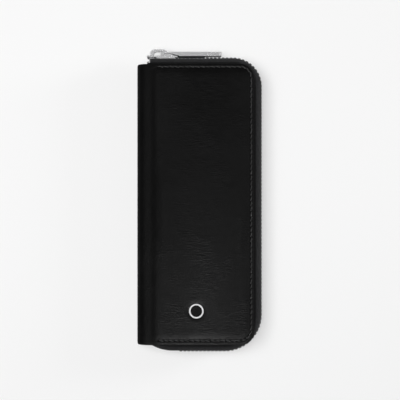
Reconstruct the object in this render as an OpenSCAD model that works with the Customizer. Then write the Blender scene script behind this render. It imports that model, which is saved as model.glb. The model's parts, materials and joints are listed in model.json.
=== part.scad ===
// Zipped leather case for two fountain pens. It lies closed on its back cover.
// +X runs from the spine to the free edge, +Y along the spine, +Z out of the front cover.
// The origin lies on the outer face of the back cover, midway along the case and across it.

/* [Covers] */
// Length of the covers along the spine
case_len = 155; // [120:1:200]
// Width of a cover from the back of the spine to its free edge
cover_w = 64.8; // [60:0.2:100]
// Corner radius of the covers
corner_r = 8; // [4:0.5:14]
// Outer radius of the two rounded edges of the spine
spine_r = 6.5; // [5:0.5:9]
// Height of the padded crown of the front cover above its edge
crown_h = 2.5; // [1:0.1:4]
// Flat border between the free edge and the padded crown
crown_margin = 2.4; // [2:0.2:8]
// Flat border between the short edges and the padded crown
crown_end_margin = 11; // [6:0.5:20]

/* [Skins] */
// Thickness of the outer leather
leather_t = 1.2; // [1:0.1:1.6]
// Thickness of the stiffening boards
board_t = 0.8; // [0.6:0.1:1.2]
// Thickness of the fabric lining
lining_t = 0.6; // [0.4:0.1:0.8]
// Distance from the leather's edge to the lining's edge
lining_inset = 1.5; // [1:0.1:2.5]
// Gap between a board and the zip tape beside it
board_gap = 0.3; // [0.2:0.1:1]
// Gap between the skins of two covers that meet at a fold
fold_gap = 0.2; // [0.2:0.05:0.4]
// Depth of the creased groove beside the spine
groove_depth = 0.5; // [0.2:0.1:0.7]
// Radius of the creased groove
groove_r = 1.4; // [1:0.1:2]
// Distance of the groove from the rounded edge of the spine
groove_in = 1.1; // [1:0.1:3]
// Gap between the crown's padding and the leather over it
pad_gap = 0.05; // [0.03:0.01:0.1]
// Thickness of the tabs that close the ends of the spine
tab_t = 1; // [0.8:0.1:1.4]
// Distance of those tabs from the ends of the spine
tab_inset = 1.5; // [1.5:0.1:4]
// Clearance of the tabs from the covers and the zip tape
tab_gap = 0.3; // [0.2:0.05:0.5]

/* [Zip] */
// How far the teeth stand out beyond the edge of the leather
zip_reach = 4.5; // [4.2:0.1:6]
// Outer radius of the teeth round the upper corner, where the slider draws the zip tight
zip_top_r = 16; // [15:0.5:26]
// Outer radius of the teeth round the lower corner
zip_low_r = 20.5; // [15:0.5:26]
// Thickness of the zip tape
tape_t = 0.8; // [0.6:0.1:1]
// Outer radius of the tape where it bends down from under the leather
tape_bend_r = 5; // [4:0.1:6]
// Width of the flat strip of tape sewn under the leather
tape_flange = 4; // [3:0.1:5]
// Distance between teeth of one row
tooth_pitch = 2.2; // [2.2:0.05:2.6]
// Width of a tooth along the tape
tooth_w = 1.4; // [1.2:0.1:1.6]
// Thickness of a tooth across the tape
tooth_t = 2.4; // [2.2:0.1:2.8]
// Height of a tooth's clamped foot
tooth_foot = 2.1; // [1.6:0.1:2.6]
// Radius of a tooth's round head
head_r = 0.5; // [0.35:0.01:0.5]
// Width of the neck under a tooth's head
neck_w = 0.6; // [0.5:0.05:0.7]
// Thickness of a tooth's head across the tape
head_t = 1.6; // [1.2:0.1:1.8]
// How far a head's centre passes the middle of the chain
head_reach = 0.35; // [0.25:0.01:0.35]
// Clearance between teeth, and between a tooth and the slider
tooth_gap = 0.1; // [0.08:0.01:0.15]
// Clearance of the slot that a tooth clamps the tape in
clamp_gap = 0.05; // [0.04:0.01:0.08]
// Thickness of a tooth's or stop's metal beyond the edge of the tape
clamp_cap = 0.4; // [0.3:0.05:0.6]
// Radius at which the lower end of the zip curves in under the leather
taper_r = 20; // [16:1:30]
// Angle through which the lower end of the zip curves in
taper_angle = 30; // [20:1:34]
// Distance of the curved lower end from the rounded edge of the spine
taper_start = 13.2; // [12.6:0.1:20]
// Distance of the tape's ends from the rounded edge of the spine
tape_start = 0.7; // [0.5:0.1:2]
// Length of a zip stop along the tape
stop_len = 2; // [1.6:0.1:2.2]
// Height of a zip stop
stop_h = 2.2; // [1.8:0.1:2.6]

/* [Slider] */
// Length of the slider along the zip
slider_len = 17.2; // [15:0.1:19]
// How far the slider's mouth reaches past the tape's upper end
slider_lead = 1.9; // [1.6:0.1:2.2]
// Thickness of the slider's two plates
plate_t = 0.7; // [0.7:0.1:1.2]
// Width of the slider's plates at the closed end
slider_w = 8.6; // [8.4:0.1:9.4]
// Width of the slider's plates at the mouth
mouth_w = 11; // [10:0.1:12]
// Length of the wide shoulders at the mouth
mouth_len = 4.4; // [3.6:0.1:5]
// Corner radius of the plates at the mouth
shoulder_r = 1.6; // [0.6:0.1:1.7]
// Corner radius of the plates at the closed end
tail_r = 1.5; // [1:0.1:2.2]
// Height of the two cheeks on the outer plate that the puller lies between
cheek_h = 1; // [0.3:0.1:1.2]
// Width of a cheek
cheek_w = 0.9; // [0.6:0.1:1]
// Length of a cheek's level top
cheek_len = 3.7; // [2:0.1:4]
// Distance from the centre of the post that parts the teeth to its point
post_point = 2.6; // [2.2:0.1:3]
// Distance from the slider's mouth to the post, and from the shoulders to the flanges
post_inset = 1; // [0.8:0.1:1.3]
// Distance of the flanges' ends from the slider's closed end
flange_inset = 1.5; // [1:0.1:3]
// Clearance between the tape and the slider's flanges
slot_gap = 0.15; // [0.12:0.01:0.2]
// Clearance between the chain's sides and the slider's flanges
side_gap = 0.4; // [0.3:0.05:0.6]
// Radius of the pin that the puller swings on
pin_r = 0.65; // [0.5:0.05:0.8]
// Clearance between the puller and what it swings past
pin_gap = 0.1; // [0.06:0.01:0.15]
// Inner radius of the bridge's round ends
window_r = 1.5; // [1.2:0.1:2]
// Thickness of the bridge's band
bridge_t = 1.3; // [1:0.1:1.8]
// Width of the bridge across the zip
bridge_w = 2.6; // [2:0.1:3.2]
// Thickness of the bridge's leg at the mouth
leg_t = 2.2; // [1.3:0.1:3]
// Length of the bridge between the centres of its round ends
bridge_len = 4.4; // [3.8:0.1:4.6]
// Distance from the slider's mouth to the pin of the puller
pin_from_mouth = 8.7; // [8:0.1:10]

/* [Puller] */
// Width of the puller
puller_w = 6; // [5:0.1:6.2]
// Thickness of the puller's bar
puller_t = 2.3; // [1.9:0.1:2.8]
// Length of the puller's bar from its pin to its tip piece
bar_len = 25.5; // [18:0.1:30]
// Length of the tip piece
tip_len = 7.3; // [5:0.1:10]
// Thickness of the tip piece
tip_t = 2.2; // [1.5:0.1:2.8]
// Depth of the grip panel sunk in the bar
panel_depth = 0.4; // [0.2:0.05:0.6]
// Width of the grip panel
panel_w = 3.6; // [2:0.1:4.4]
// Corner radius of the tip piece
tip_r = 1.4; // [0.4:0.1:2.4]
// Length of the bar that is left full at each end of the grip panel
collar_len = 1.6; // [1:0.1:3]
// Thickness of the leather strip on the bar's inner face
backing_t = 0.6; // [0.3:0.05:0.65]
// Gap between the slider's closed end and the leather strip
backing_gap = 0.4; // [0.3:0.1:2]
// Clearance between the bar's hollowed inner face and the cheeks
relief_gap = 0.3; // [0.1:0.05:0.4]
// Width and depth of the groove round each head of the pin
groove = 0.2; // [0.1:0.05:0.25]
// Clearance of the puller's slot beside the bridge
fork_gap = 0.3; // [0.2:0.05:0.5]

/* [Emblem] */
// Radius of the round emblem's bezel
emblem_r = 4; // [3:0.1:6]
// Width of the bezel's rim
emblem_rim = 0.8; // [0.6:0.1:1.2]
// Height of the bezel above the board that it stands on
emblem_h = 2.3; // [2:0.1:3.2]
// Thickness of the bezel's floor
emblem_floor = 0.6; // [0.4:0.1:1]
// Distance of the inlay's face below the rim
inlay_drop = 0.2; // [0.1:0.05:0.4]
// Distance of the emblem's centre from the cover's middle, towards the free edge
emblem_shift = 0.4; // [-6:0.1:8]
// Distance of the emblem's centre from the lower edge
emblem_up = 19; // [15:0.1:40]
// Clearance round the emblem in the leather
emblem_gap = 0.05; // [0.05:0.01:0.2]

/* [Inside] */
// Radius of a pen loop's bore
pen_r = 6.5; // [5:0.1:7.5]
// Gap between the two loops
pen_gap = 11.4; // [2:0.1:12]
// Wall of the pen loops and of the pen pocket
loop_t = 0.8; // [0.6:0.1:1.2]
// Length of the pen loops
loop_len = 28; // [15:1:32]
// Distance of the pen loops from the upper edge
loop_down = 36; // [34:1:50]
// Length of the pen pocket
pocket_len = 36; // [20:1:45]
// Distance of the pen pocket from the lower edge
pocket_up = 3.5; // [3:0.5:8]
// Thickness of the divider flap
flap_t = 0.8; // [0.6:0.1:1]
// Gap between the pen loops and the divider over them
flap_gap = 0.25; // [0.2:0.05:1]
// Angle above the middle of the spine's rounded edge at which the divider is sewn
bead_angle = 35; // [20:1:38]
// Radius of the bead along the divider's fold
bead_r = 0.6; // [0.5:0.05:0.6]
// Clearance between the divider's bead and the spine's lining
bead_gap = 0.1; // [0.1:0.05:0.3]
// Distance from the free edge to the divider's edge
divider_inset = 3.5; // [3:0.5:10]
// Distance from the short edges to the divider's ends
divider_end_inset = 8; // [7:0.5:20]
// Length of the front cover's slip pocket
slip_len = 78; // [40:1:110]
// Thickness of the slip pocket
slip_t = 0.6; // [0.5:0.1:0.8]
// Radius of the thumb cut in the slip pocket's edge
thumb_r = 10; // [6:1:14]

/* [Hidden] */
$fn = 64;
eps = 0.01;
round_fn = 360;        // facets of the crown's large, shallow arc
crown_steps = 8;       // steps of the crown's lengthwise arc, to each side of the middle

half_len = case_len / 2;
total_w = cover_w + zip_reach;
spine_x = -total_w / 2;                  // back of the spine
edge_x = spine_x + cover_w;              // free edge of the covers
pen_z = leather_t + board_t + lining_t + loop_t + pen_r;
bead_offset = spine_r - leather_t - board_t - lining_t - bead_r - bead_gap;
bead_z = pen_z + pen_r + loop_t + flap_gap + flap_t / 2;
// The case is as thick as its pens and the divider's fold ask for
edge_h = bead_z + spine_r - bead_offset * sin(bead_angle);
mid_z = edge_h / 2;                      // middle of the chain
arc_x = spine_x + spine_r;               // centre line of the spine's rounded edges
corner_top_r = zip_top_r - zip_reach;    // radii of the line that the tape's section is drawn from
corner_low_r = zip_low_r - zip_reach;
fold_angle = 45;                         // the fold crosses the middle of each rounded edge
skins_t = leather_t + board_t + lining_t;
lining_top = skins_t;                    // inner face of the back cover
groove_x = arc_x + groove_in;

tape_out = zip_reach - (tooth_t - tape_t) / 2;   // outer face of the upright tape, from the leather's edge
tape_in = tape_out - tape_t;
bend_u = tape_out - tape_bend_r;         // where the tape starts to bend
flange_u = bend_u - tape_flange;         // inner edge of the sewn strip
board_inset = board_gap - flange_u;
foot_low = tooth_gap + head_r + head_reach;      // distance of the teeth's feet from the chain's middle
tape_edge = foot_low + clamp_cap;        // distance of the tape's edge from the chain's middle
tooth_u = zip_reach - tooth_t;           // inner face of the teeth
chain_top_r = zip_top_r - tooth_t / 2;   // radii of the chain's middle at the corners
chain_low_r = zip_low_r - tooth_t / 2;
taper_x = arc_x + taper_start;
tape_x = arc_x + tape_start;
chain_half = foot_low + tooth_foot;      // half height of the chain
post_r = tape_edge - slot_gap;           // the post passes between the tapes' edges
stop_low = post_r + 2 * tooth_gap;       // distance of the top stops from the chain's middle

slider_x = tape_x - slider_lead;
slider_end = slider_x + slider_len;
plate_out_u = zip_reach + tooth_gap;     // inner face of the slider's outer plate
plate_in_u = tooth_u - tooth_gap;        // inner face of the slider's inner plate
flange_in = chain_half + side_gap;       // inner side of the slider's flanges, from the chain's middle
post_x = slider_x + post_r + post_inset;
flange_x = slider_x + mouth_len + post_inset;
plate_top = half_len + plate_out_u + plate_t;    // outer face of the slider's outer plate
pin_x = slider_x + pin_from_mouth;
cheek_x = pin_x + puller_t / 2;          // start and end of the cheeks' level tops and slopes
cheek_end = slider_end - tail_r;
bar_in = plate_top + pin_gap;            // inner face of the puller's bar
pin_y = bar_in + puller_t / 2;
bridge_r = window_r + bridge_t;          // outer radius of the bridge's round ends
slot_reach = bridge_r + pin_gap;         // the puller's solid bar starts here, from the pin

top_x = edge_x - corner_top_r;           // centres of the zip's two corners
top_y = half_len - corner_top_r;
low_x = edge_x - corner_low_r;
low_y = corner_low_r - half_len;
first_tooth = top_x - floor((top_x - flange_x - post_r) / tooth_pitch) * tooth_pitch;
run_1 = top_x - first_tooth;             // path lengths to the end of each straight and corner
run_2 = run_1 + chain_top_r * PI / 2;
run_3 = run_2 + top_y - low_y;
run_4 = run_3 + chain_low_r * PI / 2;
run_5 = run_4 + low_x - taper_x - stop_len - tooth_w;

crown_x = (groove_x + groove_r + edge_x) / 2;
crown_half_w = (edge_x - groove_x - groove_r) / 2 - crown_margin;
crown_half_len = half_len - crown_end_margin;
crown_rx = (pow(crown_half_w, 2) + pow(crown_h, 2)) / (2 * crown_h);
crown_ry = (pow(crown_half_len, 2) + pow(crown_h, 2)) / (2 * crown_h);

board_top = edge_h - leather_t;          // outer face of the front board
emblem_x = edge_x - cover_w / 2 + emblem_shift;
emblem_y = emblem_up - half_len;

pen_x = (spine_x + skins_t + edge_x + tape_in) / 2;      // middle of the space inside
pen_pitch = 2 * (pen_r + loop_t) + pen_gap;
loop_y = half_len - loop_down - loop_len;
pocket_y = pocket_up - half_len;
bead_x = arc_x - bead_offset * cos(bead_angle);

LEATHER = [0.09, 0.09, 0.10];
BOARD = [0.45, 0.42, 0.38];
LINING = [0.16, 0.16, 0.18];
TAPE = [0.17, 0.17, 0.18];
TEETH = [0.10, 0.10, 0.11];
METAL = [0.70, 0.70, 0.72];

// ---- Covers: sections across the spine, and the plan outline ----

// Ring between two radii, from angle a0 to a1, at most a quarter turn
module arc_band(r_in, r_out, a0, a1) {
    far = 2 * r_out;
    am = (a0 + a1) / 2;
    intersection() {
        difference() {
            circle(r_out);
            circle(r_in);
        }
        polygon([
            [0, 0],
            [far * cos(a0), far * sin(a0)],
            [far * cos(am), far * sin(am)],
            [far * cos(a1), far * sin(a1)]
        ]);
    }
}

// Section of one skin of the back cover, between depths t0 and t1 from the outer face
module cover_section(t0, t1) {
    cut = fold_gap / 2 / spine_r * 180 / PI;
    translate([arc_x, spine_r]) arc_band(spine_r - t1, spine_r - t0, 180 + fold_angle + cut, 270);
    translate([arc_x, t0]) square([edge_x - arc_x, t1 - t0]);
}

// Section of one skin of the spine
module spine_section(t0, t1) {
    cut = fold_gap / 2 / spine_r * 180 / PI;
    translate([arc_x, spine_r]) arc_band(spine_r - t1, spine_r - t0, 180, 180 + fold_angle - cut);
    translate([arc_x, edge_h - spine_r]) arc_band(spine_r - t1, spine_r - t0, 180 - fold_angle + cut, 180);
    translate([spine_x + t0, spine_r - eps]) square([t1 - t0, edge_h - 2 * spine_r + 2 * eps]);
}

// Extrudes a section (X, Z) along the spine
module along_spine(length) {
    translate([0, length / 2, 0]) rotate([90, 0, 0]) linear_extrude(length) children();
}

// Plan outline of a cover's skin, inset on its three free sides, with its two corner radii
module plan(inset, r_top, r_low) {
    half = half_len - inset;
    right = edge_x - inset;
    r = max(r_top, r_low);
    translate([spine_x, -half]) square([right - r - spine_x, 2 * half]);
    translate([right - r - eps, r_low - half]) square([r + eps, 2 * half - r_top - r_low]);
    translate([right - r - eps, -half]) square([r - r_low + eps, r_low + eps]);
    translate([right - r - eps, half - r_top - eps]) square([r - r_top + eps, r_top + eps]);
    translate([right - r_low, r_low - half]) circle(r_low);
    translate([right - r_top, half - r_top]) circle(r_top);
}

module cover_skin(t0, t1) {
    intersection() {
        along_spine(case_len) cover_section(t0, t1);
        translate([0, 0, -eps]) linear_extrude(edge_h) children();
    }
}

// The leather has its own corner radius
module cover_leather() {
    cover_skin(0, leather_t) plan(0, corner_r, corner_r);
}

// Boards and linings follow the zip round the corners
module cover_insert(t0, t1, inset) {
    cover_skin(t0, t1) plan(inset, corner_top_r - inset, corner_low_r - inset);
}

// Turns something made for the back cover into its twin on the front cover
module on_front() {
    translate([0, 0, edge_h]) mirror([0, 0, 1]) children();
}

// What lies under the crown's surface lowered by depth, and above the level base
module crown_dome(depth, base) {
    sweep = 2 * asin((crown_half_w + crown_h) / crown_rx);
    half = crown_half_len + crown_h;
    low = crown_rx - depth - 3 * crown_h;
    top = [
        for (i = [-crown_steps : crown_steps])
            let (y = half * i / crown_steps)
            [crown_rx - depth - crown_ry + sqrt(crown_ry * crown_ry - y * y), y]
    ];
    intersection() {
        translate([crown_x, 0, edge_h + crown_h - crown_rx]) rotate([-90, 0, 0])
            rotate([0, 0, -90 - sweep / 2]) rotate_extrude(angle = sweep, $fn = round_fn)
                polygon(concat(top, [[low, half], [low, -half]]));
        translate([crown_x - crown_half_w - crown_h, -half_len, base])
            cube([2 * (crown_half_w + crown_h), case_len, 2 * crown_h]);
    }
}

module groove() {
    translate([groove_x, half_len + eps, groove_depth - groove_r]) rotate([90, 0, 0])
        cylinder(r = groove_r, h = case_len + 2 * eps);
}

module emblem_hole(r) {
    translate([emblem_x, emblem_y, board_top]) cylinder(r = r, h = leather_t + crown_h + eps);
}

module back_leather() {
    color(LEATHER) difference() {
        cover_leather();
        groove();
    }
}

module back_board() {
    color(BOARD) cover_insert(leather_t, leather_t + board_t, board_inset);
}

// Room in a lining for the zip tape that curves in at the lower end
module taper_notch() {
    depth = taper_r - (taper_r + bend_u) * cos(taper_angle) + board_gap;
    translate([spine_x, -half_len - eps, leather_t])
        cube([taper_x - spine_x, depth + eps, 2 * skins_t]);
}

module back_lining() {
    color(LINING) difference() {
        cover_insert(leather_t + board_t, skins_t, lining_inset);
        taper_notch();
    }
}

module spine_leather() {
    color(LEATHER) along_spine(case_len) spine_section(0, leather_t);
}

module spine_stiffener() {
    color(BOARD) along_spine(case_len - 2 * board_inset) spine_section(leather_t, leather_t + board_t);
}

module spine_lining() {
    color(LINING) along_spine(case_len - 2 * lining_inset) spine_section(leather_t + board_t, skins_t);
}

// Leather tabs that close the two ends of the spine, sewn to its lining
module spine_end_tabs() {
    r = spine_r - skins_t - tab_gap;
    low = skins_t + tab_gap;
    color(LEATHER) for (y = [tab_inset + tab_t - half_len, half_len - tab_inset])
        translate([0, y, 0]) rotate([90, 0, 0]) linear_extrude(tab_t) {
            translate([spine_x + skins_t, spine_r]) square([arc_x - spine_x - skins_t, edge_h - 2 * spine_r]);
            for (z = [spine_r, edge_h - spine_r]) translate([arc_x, z]) circle(r);
            translate([arc_x, low]) square([tape_x - tab_gap - arc_x, edge_h - 2 * low]);
        }
}

module front_leather() {
    color(LEATHER) difference() {
        union() {
            on_front() cover_leather();
            crown_dome(0, edge_h);
        }
        on_front() groove();
        crown_dome(leather_t, board_top);
        emblem_hole(emblem_r + emblem_gap);
    }
}

module front_padding() {
    color(BOARD) difference() {
        crown_dome(leather_t + pad_gap, board_top);
        emblem_hole(emblem_r + emblem_gap);
    }
}

module front_board() {
    color(BOARD) on_front() cover_insert(leather_t, leather_t + board_t, board_inset);
}

module front_lining() {
    color(LINING) on_front() difference() {
        cover_insert(leather_t + board_t, skins_t, lining_inset);
        taper_notch();
    }
}

// ---- Zip: tapes ----

// Bend and upright part of the back tape: u is the distance out from the leather's edge
module tape_bend() {
    translate([bend_u, leather_t + tape_bend_r]) arc_band(tape_bend_r - tape_t, tape_bend_r, 270, 360);
    translate([tape_in, leather_t + tape_bend_r])
        square([tape_t, mid_z - tape_edge - leather_t - tape_bend_r]);
}

module tape_strip() {
    translate([flange_u, leather_t]) square([tape_flange, tape_t]);
}

module tape_section() {
    tape_bend();
    tape_strip();
}

// Extrudes a section (u, Z) along a straight run that starts at a point and heads to an angle
module run(x, y, heading, length) {
    translate([x, y, 0]) rotate([0, 0, heading + 90]) rotate([90, 0, 0]) linear_extrude(length) children();
}

module zip_tape() {
    difference() {
        run(tape_x, half_len, 0, top_x - tape_x) tape_section();
        // the post parts the rows here, so the tape's edge draws back from the middle
        translate([0, half_len + zip_reach, mid_z]) rotate([90, 0, 0]) linear_extrude(zip_reach - bend_u)
            polygon([
                [tape_x - clamp_cap, tape_edge],
                [tape_x - clamp_cap, -stop_low - clamp_cap],
                [tape_x + stop_len + tooth_gap, -stop_low - clamp_cap],
                [first_tooth - tooth_w, -tape_edge],
                [first_tooth - tooth_w, tape_edge]
            ]);
    }
    translate([top_x, top_y, 0]) rotate_extrude(angle = 90) translate([corner_top_r, 0]) tape_section();
    run(edge_x, top_y, -90, top_y - low_y) tape_section();
    translate([low_x, low_y, 0]) rotate([0, 0, -90])
        rotate_extrude(angle = 90) translate([corner_low_r, 0]) tape_section();
    run(low_x, -half_len, 180, low_x - taper_x) tape_section();
    run(taper_x, -half_len, 180, taper_x - tape_x) tape_strip();
    // the lower end curves in under the leather
    translate([taper_x, taper_r - half_len, 0]) rotate([0, 0, -90 - taper_angle])
        rotate_extrude(angle = taper_angle) translate([taper_r, 0]) tape_bend();
}

module back_zip_tape() {
    color(TAPE) zip_tape();
}

module front_zip_tape() {
    color(TAPE) on_front() zip_tape();
}

// ---- Zip: teeth ----

// Carries something made at the leather's edge (x along, y out) to distance s along the zip
module at_path(s) {
    if (s < run_1)
        translate([first_tooth + s, half_len, 0]) children();
    else if (s < run_2)
        translate([top_x, top_y, 0]) rotate([0, 0, -(s - run_1) / chain_top_r * 180 / PI])
            translate([0, corner_top_r, 0]) children();
    else if (s < run_3)
        translate([edge_x, top_y - (s - run_2), 0]) rotate([0, 0, -90]) children();
    else if (s < run_4)
        translate([low_x, low_y, 0]) rotate([0, 0, -90 - (s - run_3) / chain_low_r * 180 / PI])
            translate([0, corner_low_r, 0]) children();
    else
        translate([low_x - (s - run_4), -half_len, 0]) rotate([0, 0, 180]) children();
}

// Tooth of the back row: a foot clamped on the tape, a neck and a round head
module tooth() {
    translate([0, zip_reach - tooth_t / 2, mid_z]) {
        difference() {
            translate([-tooth_w / 2, -tooth_t / 2, -chain_half]) cube([tooth_w, tooth_t, tooth_foot]);
            translate([-tooth_w, -tape_t / 2 - clamp_gap, -chain_half - eps])
                cube([2 * tooth_w, tape_t + 2 * clamp_gap, chain_half - tape_edge + eps]);
        }
        translate([-neck_w / 2, -head_t / 2, -foot_low - eps]) cube([neck_w, head_t, foot_low + head_reach]);
        translate([0, head_t / 2, head_reach]) rotate([90, 0, 0]) cylinder(r = head_r, h = head_t, $fn = 24);
    }
}

// Teeth whose distance along the zip lies between two limits
module teeth(from, to, shift) {
    first = ceil((from - shift) / tooth_pitch);
    last = ceil((to - shift) / tooth_pitch) - 1;
    for (i = [first : last]) at_path(shift + i * tooth_pitch) tooth();
}

module back_zip_teeth() {
    color(TEETH) teeth(run_1, run_5, 0);
}

module back_zip_lead_teeth() {
    color(TEETH) teeth(0, run_1, 0);
}

module front_zip_teeth() {
    color(TEETH) on_front() teeth(run_1, run_5, tooth_pitch / 2);
}

module front_zip_lead_teeth() {
    color(TEETH) on_front() teeth(0, run_1, tooth_pitch / 2);
}

// Metal clamp round a tape's edge: slot_top is the height of the tape's edge in it
module stop(x, side, low, high, slot_top) {
    thick = tooth_t - 2 * tooth_gap;
    translate([x, side * (half_len + zip_reach - tooth_t / 2), 0]) difference() {
        translate([0, -thick / 2, low]) cube([stop_len, thick, high - low]);
        translate([-eps, -tape_t / 2 - clamp_gap, low - eps])
            cube([stop_len + 2 * eps, tape_t + 2 * clamp_gap, slot_top - low + eps]);
    }
}

module top_stop() {
    high = mid_z - stop_low;
    stop(tape_x, 1, high - stop_h, high, high - clamp_cap);
}

module back_top_stop() {
    color(METAL) top_stop();
}

module front_top_stop() {
    color(METAL) on_front() top_stop();
}

module zip_bottom_stop() {
    color(METAL) stop(taper_x, -1, mid_z - chain_half, mid_z + foot_low, mid_z - tape_edge);
}

// ---- Slider and puller ----

// Rectangle from x0 to x1 with rounded corners, its width centred on the X axis
module rounded_bar(x0, x1, width, r) {
    translate([x0 + r, -width / 2]) square([x1 - x0 - 2 * r, width]);
    translate([x0, r - width / 2]) square([x1 - x0, width - 2 * r]);
    for (x = [x0 + r, x1 - r], side = [-1, 1]) translate([x, side * (width / 2 - r)]) circle(r);
}

// Outline of a slider plate: wide shoulders at the mouth, narrower behind
module plate_outline() {
    slope = (mouth_w - slider_w) / 2;
    rounded_bar(slider_x, slider_x + mouth_len, mouth_w, shoulder_r);
    rounded_bar(slider_x + mouth_len - 2 * tail_r, slider_end, slider_w, tail_r);
    polygon([
        [slider_x + mouth_len - shoulder_r, mouth_w / 2],
        [slider_x + mouth_len + slope, slider_w / 2],
        [slider_x + mouth_len + slope, -slider_w / 2],
        [slider_x + mouth_len - shoulder_r, -mouth_w / 2]
    ]);
}

// Extrudes an outline drawn in X and height about the chain's middle, between two distances out
module outward(u0, u1) {
    translate([0, half_len + u1, mid_z]) rotate([90, 0, 0]) linear_extrude(u1 - u0) children();
}

// Drop-shaped outline of the post: its point lies behind, where the rows meet
module post_outline() {
    side_angle = 50;
    circle(post_r);
    polygon([
        [post_point, 0],
        [post_r * cos(side_angle), post_r * sin(side_angle)],
        [post_r * cos(side_angle), -post_r * sin(side_angle)]
    ]);
}

// Two cheeks along the outer plate: they rise behind the pin and slope down to the closed end
module cheeks() {
    for (side = [-1, 1])
        translate([0, 0, mid_z + side * (slider_w / 2 - cheek_w / 2) - cheek_w / 2]) linear_extrude(cheek_w)
            polygon([
                [cheek_x - cheek_h, plate_top - plate_t / 2],
                [cheek_x - cheek_h, plate_top],
                [cheek_x, plate_top + cheek_h],
                [cheek_x + cheek_len, plate_top + cheek_h],
                [cheek_end, plate_top],
                [cheek_end, plate_top - plate_t / 2]
            ]);
}

module slider_body() {
    flange_end = slider_end - flange_inset;
    flange_w = slider_w / 2 - flange_in;
    color(METAL) {
        outward(plate_out_u, plate_out_u + plate_t) plate_outline();
        outward(plate_in_u - plate_t, plate_in_u) plate_outline();
        outward(plate_in_u - plate_t / 2, plate_out_u + plate_t / 2) translate([post_x, 0]) post_outline();
        cheeks();
        for (side = [-1, 1]) {
            outward(tape_out + slot_gap, plate_out_u + plate_t / 2)
                translate([flange_x, side * (flange_in + flange_w / 2) - flange_w / 2])
                    square([flange_end - flange_x, flange_w]);
            outward(plate_in_u - plate_t / 2, tape_in - slot_gap)
                translate([flange_x, side * (flange_in + flange_w / 2) - flange_w / 2])
                    square([flange_end - flange_x, flange_w]);
        }
    }
}

// Round-ended outline about the pin, reaching a distance towards the mouth
module bridge_outline(r, reach) {
    for (x = [pin_x - reach, pin_x]) translate([x, pin_y]) circle(r);
    translate([pin_x - reach, pin_y - r]) square([reach, 2 * r]);
}

module slider_bridge() {
    color(METAL) translate([0, 0, mid_z - bridge_w / 2]) linear_extrude(bridge_w) difference() {
        union() {
            bridge_outline(bridge_r, bridge_len);
            // the leg at the mouth stands upright on the plate
            translate([pin_x - bridge_len - bridge_r, plate_top]) square([leg_t, pin_y - plate_top]);
        }
        bridge_outline(window_r, bridge_len + bridge_r - leg_t - window_r);
        translate([pin_x - bridge_len - 2 * bridge_r, plate_top - 2 * bridge_r])
            square([bridge_len + 4 * bridge_r, 2 * bridge_r]);
    }
}

// Hollow in the bar's inner face, between the round eye and the cheeks' sloping ends
module bar_relief() {
    top = plate_top + cheek_h + relief_gap;
    polygon([
        [pin_x, bar_in - eps],
        [pin_x, top],
        [cheek_x + cheek_len, top],
        [cheek_end + relief_gap, bar_in - eps]
    ]);
}

// Bar with a round eye on the pin, forked round the bridge
module puller_bar() {
    slot_w = bridge_w + 2 * fork_gap;
    collar_x = pin_x + bar_len - collar_len;
    color(METAL) {
        translate([pin_x, pin_y, mid_z - puller_w / 2]) cylinder(r = pin_r, h = puller_w);
        difference() {
            translate([0, 0, mid_z - puller_w / 2]) linear_extrude(puller_w) {
                translate([pin_x, pin_y]) circle(puller_t / 2);
                difference() {
                    translate([pin_x, bar_in]) square([bar_len, puller_t]);
                    bar_relief();
                }
            }
            // groove round each head of the pin
            for (side = [-1, 1]) translate([pin_x, pin_y, mid_z + side * puller_w / 2]) difference() {
                cylinder(r = pin_r + groove, h = 2 * groove, center = true);
                cylinder(r = pin_r, h = 3 * groove, center = true);
            }
            translate([pin_x - puller_t, bar_in - eps, mid_z - slot_w / 2])
                cube([puller_t + slot_reach, puller_t + 2 * eps, slot_w]);
            // shallow grip panel between the fork and the collar
            translate([pin_x + slot_reach + collar_len, bar_in + puller_t - panel_depth, mid_z - panel_w / 2])
                cube([collar_x - pin_x - slot_reach - collar_len, puller_t, panel_w]);
        }
    }
}

// Leather strip on the bar's inner face: it lies close over the teeth and ends in a slant at the collar
module puller_backing() {
    x0 = slider_end + backing_gap;
    x1 = pin_x + bar_len - collar_len;
    color(LEATHER) translate([0, 0, mid_z - panel_w / 2]) linear_extrude(panel_w)
        polygon([[x0, bar_in], [x0, bar_in - backing_t], [x1 - 2 * backing_t, bar_in - backing_t], [x1, bar_in]]);
}

// Plain tip with a rounded outline
module puller_tip() {
    x0 = pin_x + bar_len;
    color(METAL) translate([0, bar_in + (puller_t + tip_t) / 2, mid_z]) rotate([90, 0, 0]) linear_extrude(tip_t)
        intersection() {
            rounded_bar(x0 - 2 * tip_r, x0 + tip_len, puller_w, tip_r);
            translate([x0, -puller_w / 2]) square([tip_len, puller_w]);
        }
}

// ---- Emblem ----

module emblem_bezel() {
    color(METAL) translate([emblem_x, emblem_y, board_top]) difference() {
        cylinder(r = emblem_r, h = emblem_h);
        translate([0, 0, emblem_floor]) cylinder(r = emblem_r - emblem_rim, h = emblem_h);
    }
}

module emblem_inlay() {
    color(TEETH) translate([emblem_x, emblem_y, board_top + emblem_floor])
        cylinder(r = emblem_r - emblem_rim - emblem_gap, h = emblem_h - emblem_floor - inlay_drop);
}

// ---- Inside ----

// Round-walled section of the two pens' places, standing on the lining
module loop_section() {
    for (side = [-1, 1]) translate([pen_x + side * pen_pitch / 2, pen_z]) circle(pen_r + loop_t);
    translate([pen_x - pen_pitch / 2, lining_top]) square([pen_pitch, loop_t]);
}

module pen_loop_band() {
    color(LINING) translate([0, loop_y + loop_len, 0]) rotate([90, 0, 0]) linear_extrude(loop_len)
        difference() {
            loop_section();
            for (side = [-1, 1]) translate([pen_x + side * pen_pitch / 2, pen_z]) circle(pen_r);
        }
}

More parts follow.
